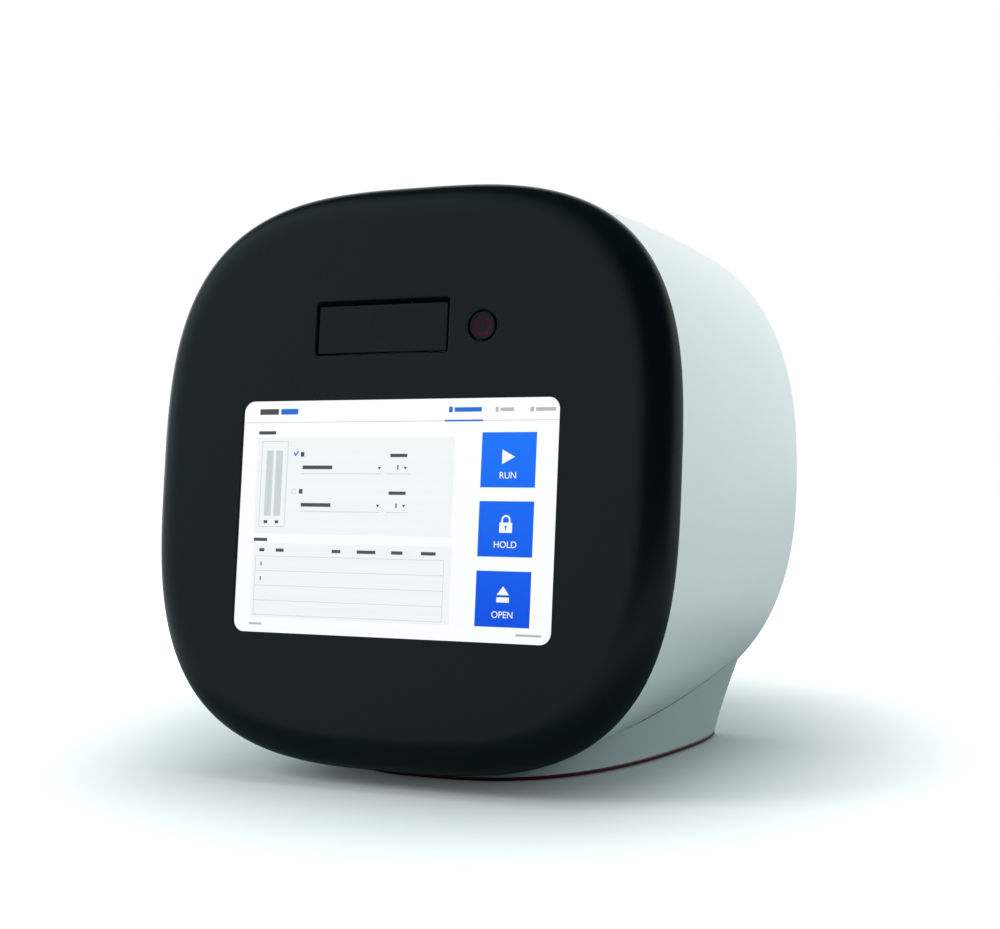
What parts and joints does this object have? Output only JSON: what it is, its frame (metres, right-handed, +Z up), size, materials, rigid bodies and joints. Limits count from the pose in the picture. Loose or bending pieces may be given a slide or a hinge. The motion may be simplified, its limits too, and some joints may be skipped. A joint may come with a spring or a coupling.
{
  "type": "somatic cell counter",
  "caption": "Bench-top somatic cell counter: leaning black squircle front with touch screen, sliding chip tray and power button, white tapering body, flared base and rear fan panel.",
  "frame": {"origin": "on the bench, under the middle of the outer box", "axes": "+X to the right of someone who faces the screen, +Y to the back, +Z up"},
  "size_m": [0.299, 0.2758, 0.3069],
  "materials": {
    "black_abs": "fine satin moulding",
    "white_abs": "smooth semi-gloss",
    "grey_abs": "fine satin moulding",
    "burgundy_abs": "gloss",
    "black_rubber": "matt",
    "cover_glass": "polished",
    "lit_display": "lit screen",
    "sheet_steel": "zinc-plated sheet",
    "zinc_screw": "zinc-plated",
    "circuit_board": "solder mask",
    "inner_plastic": "moulded",
    "plain_aluminium": "milled",
    "black_aluminium": "black anodised",
    "acetal": "natural",
    "tray_plastic": "fine satin moulding",
    "motor_steel": "plain can",
    "ground_steel": "ground",
    "optical_glass": "polished",
    "filter_glass": "coated",
    "brass_spacer": "turned",
    "port_steel": "stamped and plated"
  },
  "bodies": {
    "housing": {"front_fascia": "black_abs", "body_shell": "white_abs", "rear_panel": "grey_abs", "rear_panel_screws": "zinc_screw", "base_pedestal": "grey_abs", "base_trim": "burgundy_abs", "rubber_feet": "black_rubber", "base_screws": "zinc_screw", "touch_glass": "cover_glass", "lcd_panel": "lit_display", "display_bracket": "sheet_steel", "display_screws": "zinc_screw", "display_board": "circuit_board", "button_housing": "inner_plastic", "button_board": "circuit_board", "chassis_plate": "sheet_steel", "chassis_screws": "zinc_screw", "frame_plates": "plain_aluminium", "camera_shelf": "plain_aluminium", "focus_shelf": "plain_aluminium", "stage_plate": "plain_aluminium", "tray_rails": "acetal", "tray_motor": "motor_steel", "position_sensor": "inner_plastic", "led_bridge": "plain_aluminium", "led_board": "circuit_board", "heat_sink": "plain_aluminium", "condenser_barrel": "black_aluminium", "condenser_lens": "optical_glass", "focus_motor": "motor_steel", "guide_rods": "ground_steel", "filter_holder": "black_aluminium", "emission_filter": "filter_glass", "lens_tube": "black_aluminium", "camera_module": "black_aluminium", "main_board": "circuit_board", "board_standoffs": "brass_spacer", "usb_ports": "port_steel", "network_port": "port_steel", "power_jack": "inner_plastic", "switch_housing": "inner_plastic", "fan_frame": "inner_plastic", "fan_screws": "zinc_screw"},
    "tray": {"tray_carrier": "tray_plastic", "tray_door": "black_abs", "tray_rack": "acetal"},
    "drive": {"motor_shaft": "ground_steel", "drive_pinion": "acetal"},
    "button": {"power_button": "black_abs"},
    "rocker": {"rocker_switch": "black_abs"},
    "fan": {"fan_rotor": "inner_plastic"},
    "focus": {"focus_carriage": "plain_aluminium", "focus_plunger": "ground_steel", "objective_lens": "black_aluminium"}
  },
  "joints": [
    {"name": "tray_slide", "type": "slide", "parent": "housing", "child": "tray", "axis": [0, -1, 0], "range_m": [0, 0.092]},
    {"name": "pinion_spin", "type": "hinge", "parent": "housing", "child": "drive", "pos_m": [0.0042, -0.0806, 0.225], "axis": [0, 0, -1], "range_deg": [0, 664]},
    {"name": "button_press", "type": "slide", "parent": "housing", "child": "button", "axis": [0, 0.9956, -0.0941], "range_m": [0, 0.0015], "stiffness_N_per_m": 400},
    {"name": "rocker_tilt", "type": "hinge", "parent": "housing", "child": "rocker", "pos_m": [-0.056, 0.13182, 0.0776], "axis": [1, 0, 0], "range_deg": [-20, 0]},
    {"name": "fan_spin", "type": "hinge", "parent": "housing", "child": "fan", "pos_m": [0.046, 0.122, 0.2086], "axis": [0, 1, 0], "continuous": true},
    {"name": "focus_move", "type": "slide", "parent": "housing", "child": "focus", "axis": [0, 0, 1], "range_m": [-0.0015, 0.0015]}
  ],
  "couplings": [
    {"joint": "pinion_spin", "follows": "tray_slide", "rad_per_m": 125}
  ]
}
